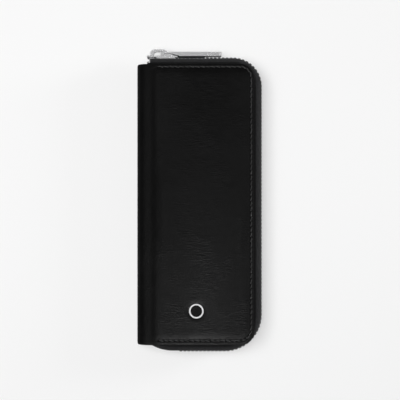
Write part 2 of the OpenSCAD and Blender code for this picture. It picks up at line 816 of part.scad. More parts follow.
// Flat round-sided sleeve, open towards the loops and closed at its lower end
module pocket_section(r) {
    for (side = [-1, 1]) translate([pen_x + side * pen_pitch / 2, pen_z]) circle(r);
    translate([pen_x - pen_pitch / 2, pen_z - r]) square([pen_pitch, 2 * r]);
}

module pen_pocket() {
    color(LEATHER) translate([0, pocket_y + pocket_len, 0]) rotate([90, 0, 0]) difference() {
        linear_extrude(pocket_len) pocket_section(pen_r + loop_t);
        translate([0, 0, -loop_t]) linear_extrude(pocket_len) pocket_section(pen_r);
    }
}

module divider_flap() {
    color(LINING) {
        translate([bead_x, half_len - divider_end_inset, bead_z]) rotate([90, 0, 0])
            cylinder(r = bead_r, h = case_len - 2 * divider_end_inset);
        translate([bead_x, divider_end_inset - half_len, bead_z - flap_t / 2])
            cube([edge_x - divider_inset - bead_x, case_len - 2 * divider_end_inset, flap_t]);
    }
}

module front_slip_pocket() {
    low = board_inset - half_len;
    color(LEATHER) translate([0, 0, edge_h - skins_t - slip_t]) linear_extrude(slip_t) difference() {
        translate([arc_x + board_inset, low]) square([edge_x - arc_x - 2 * board_inset, slip_len]);
        // shallow thumb cut in the open edge
        translate([(arc_x + edge_x) / 2, low + slip_len + thumb_r / 2]) circle(thumb_r);
    }
}

back_leather();
back_board();
back_lining();
back_zip_tape();
back_zip_teeth();
back_zip_lead_teeth();
back_top_stop();
zip_bottom_stop();
pen_loop_band();
pen_pocket();
spine_leather();
spine_stiffener();
spine_lining();
spine_end_tabs();
front_leather();
front_padding();
front_board();
front_lining();
front_slip_pocket();
front_zip_tape();
front_zip_teeth();
front_zip_lead_teeth();
front_top_stop();
emblem_bezel();
emblem_inlay();
divider_flap();
slider_body();
slider_bridge();
puller_bar();
puller_backing();
puller_tip();
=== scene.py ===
"""Looks of the zipped pen case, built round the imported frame. All lengths are in metres.

x runs from the spine to the free edge, y to the end where the slider rests, and z up from the table.
"""
import json
import math

import bmesh
import bpy
import numpy as np
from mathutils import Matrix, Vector


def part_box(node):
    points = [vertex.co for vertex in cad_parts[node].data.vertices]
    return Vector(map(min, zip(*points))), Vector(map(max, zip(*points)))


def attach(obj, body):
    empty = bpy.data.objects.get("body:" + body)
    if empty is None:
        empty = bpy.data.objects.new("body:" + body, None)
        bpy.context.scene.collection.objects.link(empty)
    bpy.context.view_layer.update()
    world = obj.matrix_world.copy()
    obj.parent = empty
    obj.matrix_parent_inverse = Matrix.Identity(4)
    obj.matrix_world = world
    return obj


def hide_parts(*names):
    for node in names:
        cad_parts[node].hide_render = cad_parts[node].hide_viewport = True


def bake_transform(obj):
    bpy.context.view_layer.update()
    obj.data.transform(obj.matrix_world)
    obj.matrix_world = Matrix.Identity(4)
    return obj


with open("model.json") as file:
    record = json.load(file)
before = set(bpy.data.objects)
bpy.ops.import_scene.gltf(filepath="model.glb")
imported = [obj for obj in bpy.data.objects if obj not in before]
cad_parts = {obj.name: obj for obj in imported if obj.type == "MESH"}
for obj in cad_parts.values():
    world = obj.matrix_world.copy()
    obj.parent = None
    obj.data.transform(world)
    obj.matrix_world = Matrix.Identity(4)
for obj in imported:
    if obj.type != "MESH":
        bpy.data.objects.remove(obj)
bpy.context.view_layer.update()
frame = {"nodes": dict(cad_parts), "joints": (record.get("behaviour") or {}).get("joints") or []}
MM = 0.001


# ---- Sizes: what the frame tells, then what only the looks need ----

def low(node, axis):
    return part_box(node)[0][axis]


def high(node, axis):
    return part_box(node)[1][axis]


def span(node, axis):
    return low(node, axis), high(node, axis)


def middle(node, axis):
    return sum(span(node, axis)) / 2


def joint_at(name):
    return next(joint["pos_m"] for joint in frame["joints"] if joint["name"] == name)


SPINE_X = low("spine_leather", 0)
EDGE_X = high("back_leather", 0)
HALF = high("back_leather", 1)
EDGE_Z = high("spine_leather", 2) + low("spine_leather", 2)
MID_Z = EDGE_Z / 2
CROWN = high("front_leather", 2) - EDGE_Z
ZIP_REACH = high("back_zip_teeth", 0) - EDGE_X
TAPE_X = low("back_zip_tape", 0)
TAPER_X = high("zip_bottom_stop", 0) - 2 * MM  # from here to the spine the zip curves in

LEATHER_T = 1.2 * MM
LINING_TOP = 2 * MM  # depth of the lining's hidden face below the leather's outer face
SKINS_T = 2.6 * MM
SPINE_R = 6.5 * MM
ARC_X = SPINE_X + SPINE_R
GROOVE_X = ARC_X + 1.1 * MM
LEFT = ARC_X - SPINE_R * math.pi / 2 - (MID_Z - SPINE_R)  # middle of the spine, unrolled
CORNER_R = 8 * MM
ZIP_TOP_R = 11.5 * MM  # radii of the line that the zip's section is drawn from
ZIP_LOW_R = 16 * MM
ZIP_PITCH = 2.2 * MM
LINING_INSET = 1.5 * MM
SEAM_IN = 1.8 * MM  # distance of the seam from the leather's edge
SEAM_START = -23.5 * MM
SEAM_RISE = 0.43 * MM  # the seam keeps further from the lower edge than from the upper one
STITCH = 2.84 * MM
LOOP_STITCH = 2.4 * MM
EMBLEM = (middle("emblem_bezel", 0), middle("emblem_bezel", 1))
EMBLEM_R = high("emblem_bezel", 0) - EMBLEM[0]
LOOP_R = 7.3 * MM  # outer radius of a pen's loop
LOOP_T = 0.8 * MM
PEN_X = (low("pen_loop_band", 0) + LOOP_R, high("pen_loop_band", 0) - LOOP_R)
PEN_Z = high("pen_loop_band", 2) - LOOP_R


# ---- Camera, light and floor ----

CAMERA_AT = (0.17 * MM, 2.5 * MM, 560 * MM)
LENS, SENSOR = 88, 36
AMBIENT = 0.1  # soft light from all round
BACKDROP = 0.92  # how bright the backdrop looks
FLOOR_GLOW = 0.455  # how bright the floor looks by itself
FLOOR_SHADED = 0.44  # what it adds where the lamps reach it, so that a shadow shows
FLOOR_FADE = (0.16, 0.45)  # distances between which it turns into the backdrop
FLOOR_LIT = 0.85  # how much light it throws back at the case
FLOOR_ROUGH = 0.9
FLOOR_SIZE = 4
FLOOR_Z = -0.02 * MM
LAMPS = {  # place, size, power and whether it makes gloss instead of soft light
    "key": ((-0.19, 0.05, 0.8), (0.36, 0.5), 6.7, False),
    "front": ((-0.012, -0.44, 0.62), (0.08, 0.14), 1.15, True),
    "side": ((0.8, 0.25, 0.12), (0.2, 0.6), 5.2, False),
}

# How bright things look in reflections. A range named after a level says where it passes into the
# next one, in x, y or z of the way that the reflection goes.
NEAR_FLOOR = 0.12  # the floor in the case's shade
NEAR_FLOOR_FADE = (0.01, 0.05)  # distances from the case between which the floor grows lighter
HORIZON = 0.36  # floor and grey screens all round
HORIZON_Z = (0.3, 0.85)
SPINE_SCREEN = 0.15  # a darker screen beside the spine
SPINE_SCREEN_X = (-0.33, -0.52)
SPINE_SCREEN_Y = (0.3, 0.6)
SKY_RIGHT, SKY_LEFT = 0.81, 1.125  # a soft ceiling, brighter towards the spine,
SKY_X = (0.1, -0.16)
SKY_LOW = 0.594  # dimmer towards the lower end
SKY_LOW_Y = (-0.35, 0.0)
SKY_FAR = 0.16  # and dark towards the slider's end,
SKY_FAR_Y = (0.07, 0.31)
HOLE_AT = (0.04, 0.25, 0.97)  # with a black hole in it, through which the camera looks
HOLE_EDGES = (0.11, 0.3)


def add_object(name, data):
    obj = bpy.data.objects.new(name, data)
    bpy.context.scene.collection.objects.link(obj)
    return obj


def make_camera():
    data = bpy.data.cameras.new("camera")
    data.lens = LENS
    data.sensor_width = SENSOR
    camera = add_object("camera", data)
    camera.location = CAMERA_AT
    bpy.context.scene.camera = camera


def area_light(name, at, size, power, gloss):
    data = bpy.data.lights.new(name, "AREA")
    data.shape = "RECTANGLE"
    data.size, data.size_y = size
    data.energy = power
    lamp = add_object(name, data)
    lamp.location = at
    lamp.visible_glossy = gloss
    lamp.visible_diffuse = not gloss
    lamp.visible_camera = False
    lamp.rotation_mode = "QUATERNION"
    lamp.rotation_quaternion = (-Vector(at)).to_track_quat("-Z", "Y")


class Nodes:
    """Adds nodes and chains them. A value is a number, a tuple or another node's output."""

    def __init__(self, owner):
        owner.use_nodes = True
        self.nodes, self.links = owner.node_tree.nodes, owner.node_tree.links

    def set(self, node, socket, value):
        if isinstance(value, bpy.types.NodeSocket):
            self.links.new(value, node.inputs[socket])
        else:
            node.inputs[socket].default_value = value

    def add(self, kind, values, output=0, **settings):
        node = self.nodes.new(f"ShaderNode{kind}")
        for setting, value in settings.items():
            setattr(node, setting, value)
        for socket, value in values.items():
            self.set(node, socket, value)
        return node.outputs[output]

    def math(self, operation, *values):
        return self.add("Math", dict(enumerate(values)), operation=operation)

    def vector(self, operation, *values, output="Vector"):
        return self.add("VectorMath", dict(enumerate(values)), output, operation=operation)

    def split(self, value):
        node = self.nodes.new("ShaderNodeSeparateXYZ")
        self.set(node, 0, value)
        return node.outputs

    def ramp(self, value, start, end, before=0.0, after=1.0):
        values = {"Value": value, "From Min": start, "From Max": end, "To Min": before, "To Max": after}
        return self.add("MapRange", values)

    def show(self, node, lit, mirrored, seen):
        """Lights the case with lit. Reflections show mirrored, and the camera and clear things show seen."""
        path = self.nodes.new("ShaderNodeLightPath").outputs
        direct = self.math("MAXIMUM", path["Is Camera Ray"], path["Is Transmission Ray"])
        shown = self.add("MixShader", {0: path["Is Glossy Ray"], 1: lit, 2: mirrored})
        self.set(self.nodes[node], "Surface", self.add("MixShader", {0: direct, 1: shown, 2: seen}))


def grey(brightness):
    return (brightness, brightness, brightness, 1)


def make_world():
    world = bpy.data.worlds.new("world")
    n = Nodes(world)
    light = n.nodes["Background"]
    n.set(light, "Color", grey(1))
    n.set(light, "Strength", AMBIENT)
    way = n.add("TexCoord", {}, "Generated")
    x, y, z = n.split(way)
    sky = n.ramp(x, *SKY_X, SKY_RIGHT, SKY_LEFT)
    sky = n.ramp(y, *SKY_LOW_Y, SKY_LOW, sky)
    sky = n.ramp(y, *SKY_FAR_Y, sky, SKY_FAR)
    sky = n.ramp(n.vector("DISTANCE", way, HOLE_AT, output="Value"), *HOLE_EDGES, 0, sky)
    sky = n.ramp(z, *HORIZON_Z, HORIZON, sky)
    spine_screen = n.ramp(n.math("ABSOLUTE", y), *SPINE_SCREEN_Y, SPINE_SCREEN, HORIZON)
    sky = n.ramp(x, *SPINE_SCREEN_X, sky, spine_screen)
    n.show("World Output", light.outputs[0], n.add("Background", {"Color": sky}),
           n.add("Background", {"Color": grey(BACKDROP)}))
    bpy.context.scene.world = world


def floor_material():
    """A floor that the camera sees shaded near the case and as bright as the backdrop far from it."""
    mat = bpy.data.materials.new("floor")
    n = Nodes(mat)
    lit = n.nodes["Principled BSDF"]
    n.set(lit, "Base Color", grey(FLOOR_LIT))
    n.set(lit, "Roughness", FLOOR_ROUGH)
    place = n.add("TexCoord", {}, "Object")
    x, y, _ = n.split(n.vector("SUBTRACT", n.vector("ABSOLUTE", place), (EDGE_X, HALF, 0)))
    near_level = n.ramp(n.math("MAXIMUM", x, y), *NEAR_FLOOR_FADE, NEAR_FLOOR, HORIZON)
    glow = n.add("Emission", {"Color": grey(FLOOR_GLOW)})
    near = n.add("AddShader", {0: n.add("BsdfDiffuse", {"Color": grey(FLOOR_SHADED)}), 1: glow})
    far = n.add("Emission", {"Color": grey(BACKDROP)})
    fade = n.ramp(n.vector("LENGTH", place, output="Value"), *FLOOR_FADE)
    n.show("Material Output", lit.outputs[0], n.add("Emission", {"Color": near_level}),
           n.add("MixShader", {0: fade, 1: near, 2: far}))
    return mat


def make_stage():
    bpy.context.scene.view_settings.view_transform = "Standard"
    make_world()
    for name, facts in LAMPS.items():
        area_light(name, *facts)
    bpy.ops.mesh.primitive_plane_add(size=FLOOR_SIZE)
    floor = bpy.context.object
    floor.name = "floor"
    floor.location.z = FLOOR_Z
    floor.data.materials.append(floor_material())


# ---- Materials ----

class Shader(Nodes):
    """A Principled material. Its textures lie in space, or in the cloth's flat pattern."""

    def __init__(self, name, colour, rough, facts, flat=False):
        self.mat = bpy.data.materials.new(name)
        super().__init__(self.mat)
        self.bsdf = self.nodes["Principled BSDF"]
        for socket, value in {"Base Color": (*colour, 1), "Roughness": rough, **facts}.items():
            self.put(socket, value)
        self.height = None
        self.place = self.attribute("flat", "Vector") if flat else self.add("TexCoord", {}, "Object")

    def put(self, socket, value):
        self.set(self.bsdf, socket, value)

    def attribute(self, name, output="Fac"):
        return self.add("Attribute", {}, output, attribute_name=name)

    def mapped(self, stretch=(1, 1, 1), turn=0.0):
        return self.add("Mapping", {"Vector": self.place, "Scale": stretch, "Rotation": (0, 0, turn)})

    def noise(self, scale, detail, stretch=(1, 1, 1), distortion=0.0):
        """Clouds. scale is how many there are in a metre."""
        values = {"Vector": self.mapped(stretch), "Scale": scale, "Detail": detail}
        return self.add("TexNoise", {**values, "Distortion": distortion}, "Fac")

    def cells(self, scale):
        values = {"Vector": self.mapped(), "Scale": scale}
        return self.add("TexVoronoi", values, "Distance", feature="DISTANCE_TO_EDGE")

    def wave(self, period, turn=0.0, distortion=0.0, axis="X"):
        values = {"Vector": self.mapped(turn=turn), "Scale": math.pi / 10 / period}
        return self.add("TexWave", {**values, "Distortion": distortion}, "Fac", bands_direction=axis)

    def mix(self, factor, dark, light):
        """Mixes two colours, each a triple or another node's output."""
        node = self.nodes.new("ShaderNodeMix")
        node.data_type = "RGBA"
        self.set(node, "Factor", factor)
        colours = [i for i, socket in enumerate(node.inputs) if socket.type == "RGBA"]
        for i, value in zip(colours, (dark, light)):
            self.set(node, i, (*value, 1) if isinstance(value, tuple) else value)
        return next(socket for socket in node.outputs if socket.type == "RGBA")

    def paint(self, factor, dark, light):
        self.put("Base Color", self.mix(factor, dark, light))

    def bump(self, value, distance, strength=1.0):
        values = {"Height": value, "Distance": distance, "Strength": strength}
        if self.height is not None:
            values["Normal"] = self.height
        self.height = self.add("Bump", values)
        self.put("Normal", self.height)


def tint(colour, factor):
    return tuple(factor * c for c in colour)


def leather_material(name, colour, rough):
    """Smooth calf leather: fine pores, a few creases across the panel, and paler worn edges."""
    s = Shader(name, colour, rough, {"Specular IOR Level": 0.2})
    clouds = s.ramp(s.noise(42, 4, distortion=0.6), 0.35, 0.68)
    worn = s.math("MULTIPLY", s.attribute("edge"), s.ramp(s.noise(900, 4), 0.3, 0.65))
    s.paint(worn, s.mix(clouds, tint(colour, 0.7), tint(colour, 1.5)), tint(colour, 2))
    s.put("Roughness", s.ramp(s.noise(520, 3), 0.3, 0.7, rough - 0.07, rough + 0.08))
    pores = s.ramp(s.cells(1500), 0, 0.12)
    s.bump(pores, 0.03 * MM, 0.5)
    grain = s.noise(1000, 5)
    s.bump(grain, 0.04 * MM, 0.45)
    handled = s.ramp(s.noise(70, 2), 0.38, 0.65)
    creases = s.math("MULTIPLY", s.noise(1500, 2, (0.19, 1, 1), 0.5), handled)
    s.bump(creases, 0.22 * MM)
    return s.mat


def weave_material(name, colour, thread, sheen, turn=0.0, sewn=False):
    """Plain weave, or twill when turned: two sets of threads, each raised where the other dips. A sewn one
    has painted shade along its edge, where it goes under the leather."""
    facts = {"Specular IOR Level": 0.15, "Sheen Weight": sheen, "Sheen Roughness": 0.5}
    s = Shader(name, colour, 0.85, facts, flat=True)
    across, along = s.wave(thread, turn, 0.4, "X"), s.wave(thread, turn, 0.4, "Y")
    uneven = s.ramp(s.noise(1600, 1), 0.3, 0.7, 0.6, 1)
    weave = s.math("MAXIMUM", s.math("MULTIPLY", across, uneven), along)
    faded = s.ramp(s.noise(700, 3), 0.3, 0.7, 0.4, 1)
    # the raised threads are painted lighter and the dips darker: painted shade
    shades = s.mix(s.math("MULTIPLY", weave, faded), tint(colour, 0.2), tint(colour, 1.7))
    if sewn:
        # painted shade: darker along the edge where the cloth goes under the leather
        shades = s.mix(s.attribute("edge"), shades, tint(colour, 0.1))
    s.put("Base Color", shades)
    s.bump(weave, 0.07 * MM, 0.7)
    return s.mat


def elastic_material(name, colour):
    """Ribbed elastic webbing, painted darker in its grooves and lighter on its ribs: painted shade."""
    s = Shader(name, colour, 0.8, {"Sheen Weight": 0.3}, flat=True)
    ribs, picks = s.wave(1.1 * MM, axis="Y"), s.wave(0.4 * MM, 0, 0.5, "X")
    s.paint(s.math("MULTIPLY", ribs, s.ramp(picks, 0, 1, 0.5, 1)), tint(colour, 0.35), tint(colour, 1.4))
    s.bump(ribs, 0.16 * MM, 0.8)
    s.bump(picks, 0.04 * MM, 0.6)
    return s.mat


def suede_material(name, colour):
    """Short brushed nap, with strokes lying both ways."""
    s = Shader(name, colour, 0.95, {"Sheen Weight": 0.6, "Sheen Roughness": 0.4})
    strokes = s.ramp(s.noise(60, 3, (1, 0.4, 1), distortion=1.2), 0.35, 0.65)
    s.paint(strokes, tint(colour, 0.75), tint(colour, 1.25))
    s.bump(s.noise(2400, 4), 0.05 * MM, 0.6)
    return s.mat


def thread_material(name, colour):
    """Twisted thread with a slight shine, painted darker in the grooves of its twist: painted shade."""
    s = Shader(name, colour, 0.45, {"Sheen Weight": 0.3}, flat=True)
    twist = s.wave(0.5 * MM, math.radians(40), 0.3)
    s.paint(twist, tint(colour, 0.5), tint(colour, 1.3))
    s.bump(twist, 0.05 * MM, 0.7)
    return s.mat


def metal_material(name, colour, rough):
    """Polished plating with faint brushing and spots that are a little duller and darker."""
    s = Shader(name, colour, rough, {"Metallic": 0.75})
    s.put("Roughness", s.ramp(s.noise(200, 2), 0.3, 0.7, rough - 0.02, rough + 0.03))
    s.paint(s.ramp(s.noise(160, 2), 0.3, 0.7), tint(colour, 0.94), colour)
    s.bump(s.noise(900, 1, (0.12, 1, 1)), 0.001 * MM, 0.3)
    return s.mat


def gloss_material(name, colour, rough, shine=0.5):
    """Smooth coated surface: plastic, enamel, or matte black for painted shade."""
    facts = {"Specular IOR Level": shine, "Coat Weight": 0.6 * shine, "Coat Roughness": 0.08}
    s = Shader(name, colour, rough, facts)
    s.paint(s.ramp(s.noise(500, 2), 0.35, 0.65), colour, tint(colour, 2))
    s.bump(s.noise(1200, 2), 0.015 * MM, 0.4)
    return s.mat


def board_material(name, colour):
    """Dull pressed fibre, or foam."""
    s = Shader(name, colour, 0.9, {})
    s.paint(s.noise(900, 4), tint(colour, 0.8), tint(colour, 1.15))
    s.bump(s.noise(1500, 4), 0.05 * MM, 0.5)
    return s.mat


# ---- Mesh helpers. A piece's "flat" attribute holds its place in the cloth's flat pattern, and its
# "edge" attribute how close it is to a worn edge, or on the zip tape the strength of its painted shade ----

SHARP_ANGLE = math.radians(50)
CORE_GAP = 0.7 * MM  # between a shell's last ring and the coarser grid inside it
WORN_W = 0.35 * MM  # width of a worn edge
STITCH_W, STITCH_T = 0.62 * MM, 0.48 * MM
STITCH_FILL = 0.86  # share of its pitch that a stitch takes up
STITCH_TAPER = 0.45  # how much narrower its ends are
STITCH_RISE = 0.26 * MM  # height of its middle above the surface,
STITCH_DIP = 0.62 * MM  # how far its ends lie below that,
STITCH_SLANT = 0.28 * MM  # and how far they are moved sideways


def new_object(name, verts, faces, mat, flat, edge=None):
    mesh = bpy.data.meshes.new(name)
    mesh.from_pydata(np.asarray(verts).tolist(), [], faces)
    bm = bmesh.new()
    bm.from_mesh(mesh)
    bmesh.ops.recalc_face_normals(bm, faces=bm.faces)
    bm.to_mesh(mesh)
    bm.free()
    layer = mesh.attributes.new("flat", "FLOAT_VECTOR", "POINT")
    layer.data.foreach_set("vector", np.pad(flat, ((0, 0), (0, 1))).ravel())
    if edge is not None:
        mesh.attributes.new("edge", "FLOAT", "POINT").data.foreach_set("value", edge.ravel())
    mesh.materials.append(mat)
    mesh.shade_smooth()
    mesh.set_sharp_from_angle(angle=SHARP_ANGLE)
    return add_object(name, mesh)


def grid_faces(rows, cols, start=0, closed=False):
    """Quads of a grid of vertices stored row by row. closed joins the last column to the first."""
    i = np.arange(rows - 1)[:, None]
    j = np.arange(cols if closed else cols - 1)[None, :]
    k = (j + 1) % cols
    quads = np.stack([i * cols + j, i * cols + k, (i + 1) * cols + k, (i + 1) * cols + j], axis=2)
    return (quads.reshape(-1, 4) + start).tolist()


class Mesh:
    """Gathers grids of vertices, with their places in the flat pattern, into one object."""

    def __init__(self):
        self.verts, self.flat, self.faces, self.count = [], [], [], 0

    def grid(self, points, flat, cap=False):
        """points and flat are arrays of rows by columns, and each row is a closed ring. cap closes both
        ends with one face each."""
        rows, cols = points.shape[:2]
        self.faces += grid_faces(rows, cols, self.count, closed=True)
        if cap:
            for first in (self.count, self.count + (rows - 1) * cols):
                self.faces.append(list(range(first, first + cols)))
        self.verts.append(points.reshape(-1, 3))
        self.flat.append(flat.reshape(-1, 2))
        self.count += rows * cols

    def make(self, name, mat, edge=None):
        verts, flat = np.concatenate(self.verts), np.concatenate(self.flat)
        return new_object(name, verts, self.faces, mat, flat, edge)


def tube(name, points, flat, mat, cap=True, edge=None):
    """A piece of one grid."""
    mesh = Mesh()
    mesh.grid(points, flat, cap=cap)
    return mesh.make(name, mat, edge)


def stacked(*coordinates):
    """Points from their coordinates, which may be arrays of different shapes."""
    return np.stack(np.broadcast_arrays(*coordinates), axis=-1)


def smooth_step(t):
    t = np.clip(t, 0, 1)
    return t * t * (3 - 2 * t)


def bell(t, width):
    return np.exp(-(t / width) ** 2)


def ring_section(centre, thick):
    """Closed outline round a line of (u, z) points, with rounded ends."""
    step = np.gradient(centre, axis=0)
    step /= np.linalg.norm(step, axis=1)[:, None]
    normal = stacked(-step[:, 1], step[:, 0])
    one, two = centre + normal * thick / 2, centre - normal * thick / 2
    bulge, corner = 0.22 * thick, 0.2 * thick
    one[-1] -= step[-1] * corner
    two[-1] -= step[-1] * corner
    tip, root = centre[-1] + step[-1] * bulge, centre[0] - step[0] * bulge
    return np.concatenate([one, [tip + normal[-1] * corner, tip - normal[-1] * corner],
                           two[::-1], [root - normal[0] * corner, root + normal[0] * corner]])


# ---- The cover's flat pattern: x runs round the fold to the middle of the spine, unrolled ----

def laid(x, y, out, front):
    """Puts points of the flat pattern in place. out is their height above the leather's outer face."""
    turn = np.clip((ARC_X - x) / SPINE_R, 0, math.pi / 2)
    drop = np.maximum(ARC_X - x - SPINE_R * math.pi / 2, 0)
    r = SPINE_R + out
    across = np.where(x < ARC_X, ARC_X - r * np.sin(turn), x)
    z = EDGE_Z - SPINE_R + r * np.cos(turn) - drop
    return stacked(across, y, z if front else EDGE_Z - z)


def cut_in(plan, inset):
    """The plan of a piece that is smaller by inset on its three free sides."""
    left, right, half, r_top, r_low = plan
    return left, right - inset, half - inset, r_top - inset, r_low - inset


def side_ends(plan, inset):
    """Distances along a line inside the three free sides at which each side or corner ends."""
    start, right, half, rt, rl = cut_in(plan, inset)
    return np.cumsum([0, right - rt - start, rt * math.pi / 2, 2 * half - rt - rl, rl * math.pi / 2,
                      right - rl - start])


def trace(s, plan, inset):
    """Points and outward angles at distances s along such a line."""
    start, _, half, rt, rl = cut_in(plan, inset)
    ends = side_ends(plan, inset)
    upper, turn_1, side, turn_2, lower = (np.clip(s - a, 0, b - a) for a, b in zip(ends, ends[1:]))
    a, b = turn_1 / rt, turn_2 / rl
    x = start + upper + rt * np.sin(a) - rl * (1 - np.cos(b)) - lower
    y = half - rt * (1 - np.cos(a)) - side - rl * np.sin(b)
    return x, y, math.pi / 2 - a - b


def trace_length(plan, inset):
    return side_ends(plan, inset)[-1]


def along(x, y, plan, inset):
    """Distance along such a line of the point nearest to (x, y), the inverse of trace."""
    start, right, half, rt, rl = cut_in(plan, inset)
    ends = side_ends(plan, inset)
    tiny = 1e-9
    top_turn = np.arctan2(x - right + rt, np.maximum(y - half + rt, tiny))
    low_turn = np.arctan2(np.maximum(rl - half - y, 0), np.maximum(x - right + rl, tiny))
    return np.select(
        [(y > half - rt) & (x < right - rt), y > half - rt, y > rl - half, x > right - rl],
        [x - start, ends[1] + rt * top_turn, ends[2] + half - rt - y, ends[3] + rl * low_turn],
        ends[4] + right - rl - x)


def plan_loop(plan, inset, steps):
    """Points round the three free sides of a piece that is cut square at its left end."""
    left, right, half, rt, rl = cut_in(plan, inset)
    side, arc, edge = steps
    a = np.linspace(math.pi / 2, 0, arc + 1)[:-1]
    b = -np.linspace(0, math.pi / 2, arc + 1)[:-1]
    return np.concatenate([
        stacked(np.linspace(left, right - rt, side + 1)[:-1], half),
        stacked(right - rt + rt * np.cos(a), half - rt + rt * np.sin(a)),
        stacked(right, np.linspace(half - rt, rl - half, edge + 1)[:-1]),
        stacked(right - rl + rl * np.cos(b), rl - half + rl * np.sin(b)),
        stacked(np.linspace(right - rl, left, side + 1), -half),
    ])


def patch(loop, steps):
    """Grid of points that fills a loop, with its rows from the upper side to the lower one."""
    side, arc, edge = steps
    cols, rows = side + arc // 2 + 1, edge + arc + 1
    top, low_side = loop[:cols], loop[::-1][:cols]
    right = loop[cols - 1:cols - 1 + rows]
    left = np.linspace(top[0], low_side[0], rows)
    u = np.linspace(0, 1, cols)[None, :, None]
    v = np.linspace(0, 1, rows)[:, None, None]
    corners = (1 - v) * ((1 - u) * top[0] + u * top[-1]) + v * ((1 - u) * low_side[0] + u * low_side[-1])
    between = (1 - v) * top + v * low_side
    return between + (1 - u) * left[:, None] + u * right[:, None] - corners


def shell(name, plan, rings, steps, place, mat, hole=None):
    """Closed sheet with thickness. rings are (inset, s) pairs from the inner face's core, round the rim,
    to the outer face's core, where s runs from 1 on the inner face to 0 on the outer one. place puts
    x, y and s in space."""
    fine = tuple(2 * n for n in steps)
    flats, depths = [], []
    for inset, s in rings:
        points = plan_loop(plan, inset, fine)
        flats.append(points)
        depths.append(np.full(len(points), s))
    n = len(flats[0])
    faces = grid_faces(len(rings), n)
    count = len(rings) * n
    core = patch(plan_loop(plan, rings[-1][0] + CORE_GAP, steps), steps)
    rows, cols = core.shape[:2]
    rim = ([(0, j) for j in range(cols)] + [(i, cols - 1) for i in range(1, rows)]
           + [(rows - 1, j) for j in range(cols - 2, -1, -1)])
    for s, ring in ((1.0, 0), (0.0, len(rings) - 1)):
        flats.append(core.reshape(-1, 2))
        depths.append(np.full(rows * cols, s))
        faces += grid_faces(rows, cols, count)
        for k in range(len(rim) - 1):
            a, b = (count + i * cols + j for i, j in rim[k:k + 2])
            f = ring * n + 2 * k
            faces.append([f, f + 1, f + 2, b, a])
        count += rows * cols
    inner, outer = len(rings) * n, len(rings) * n + rows * cols
    for a in range(0, (rows - 1) * cols, cols):
        faces.append([outer + a, outer + a + cols, inner + a + cols, inner + a])
    for column, corner in ((0, 0), (n - 1, (rows - 1) * cols)):
        faces.append([inner + corner] + [k * n + column for k in range(len(rings))] + [outer + corner])
    flat, s = np.concatenate(flats), np.concatenate(depths)
    x, y = flat.T
    if hole:
        cx, cy, r = hole
        inside = np.hypot(x - cx, y - cy) < r
        faces = [f for f in faces if not inside[f[0]]]
    return new_object(name, place(x, y, s), faces, mat, flat, bell(edge_distance(x, y, plan), WORN_W))


def edge_distance(x, y, plan):
    """Distance in from the three free sides of a piece with rounded corners."""
    right, half, r_top, r_low = plan[1:]
    r = np.where(y > 0, r_top, r_low)
    dx, dy = right - x, half - np.abs(y)
    corner = r - np.hypot(np.maximum(r - dx, 0), np.maximum(r - dy, 0))
    return np.where((dx < r) & (dy < r), corner, np.minimum(dx, dy))


def stitch_row(name, line, length, place, mat, pitch=STITCH):
    """Row of stitches. line gives x, y and the outward angle at distances along the seam, and place
    puts a point at a height above the surface. Each stitch rises from one hole and dips into the next."""
    count = int(length / pitch)
    rings, sides = 11, 8
    t = np.linspace(-1, 1, rings)
    s = ((np.arange(count) + 0.5)[:, None] + t / 2 * STITCH_FILL) * pitch
    s += (length - count * pitch) / 2
    x, y, out = (value[..., None] for value in line(s))
    around = np.linspace(0, 2 * math.pi, sides, endpoint=False)
    taper = (1 - STITCH_TAPER * np.abs(t) ** 3)[:, None]
    lift = (STITCH_RISE - STITCH_DIP * np.abs(t) ** 5)[:, None]
    side = STITCH_W / 2 * taper * np.cos(around) - STITCH_SLANT * t[:, None]
    points = place(x + side * np.cos(out), y + side * np.sin(out),
                   lift + STITCH_T / 2 * taper * np.sin(around))
    mesh = Mesh()
    for i in range(count):
        mesh.grid(points[i], stacked(s[i][:, None], around * STITCH_W / 2), cap=True)
    return mesh.make(name, mat)


def plate(name, outline, levels, r, place, mat):
    """Flat piece with rounded edges. place(a, b, level) puts its points in space."""
    step = np.roll(outline, -1, axis=0) - np.roll(outline, 1, axis=0)
    step /= np.linalg.norm(step, axis=1)[:, None]
    inward = stacked(-step[:, 1], step[:, 0])
    bottom, top = levels
    lower = [(outline + inward * r * (1 - math.sin(a)), bottom + r * (1 - math.cos(a)))
             for a in map(math.radians, (0, 30, 60, 90))]
    rings = lower + [(ring, bottom + top - level) for ring, level in lower[::-1]]
    points = np.stack([place(*ring.T, level) for ring, level in rings])
    return tube(name, points, np.stack([ring for ring, _ in rings]), mat)


def arc_points(cx, cy, r, start, end, count):
    """Points on an arc, with its angles in degrees."""
    a = np.radians(np.linspace(start, end, count))
    return stacked(cx + r * np.cos(a), cy + r * np.sin(a))


def distances(points):
    """Distances along a line of points."""
    return np.concatenate([[0], np.cumsum(np.linalg.norm(np.diff(points, axis=0), axis=1))])


def polyline(points):
    """A seam's line through points: gives x, y and the angle to its right at distances along it."""
    points = np.asarray(points)
    step, ends = np.diff(points, axis=0), distances(points)
    angles = np.arctan2(step[:, 1], step[:, 0]) - math.pi / 2

    def line(s):
        leg = np.clip(np.searchsorted(ends, s, side="right") - 1, 0, len(step) - 1)
        return np.interp(s, ends, points[:, 0]), np.interp(s, ends, points[:, 1]), angles[leg]
    return line, ends[-1]


def on_level(z, side=1):
    """Puts points on a level surface, with heights above it, or below it when side is -1."""
    return lambda x, y, up: stacked(x, y, z + side * up)


# ---- Leather covers ----

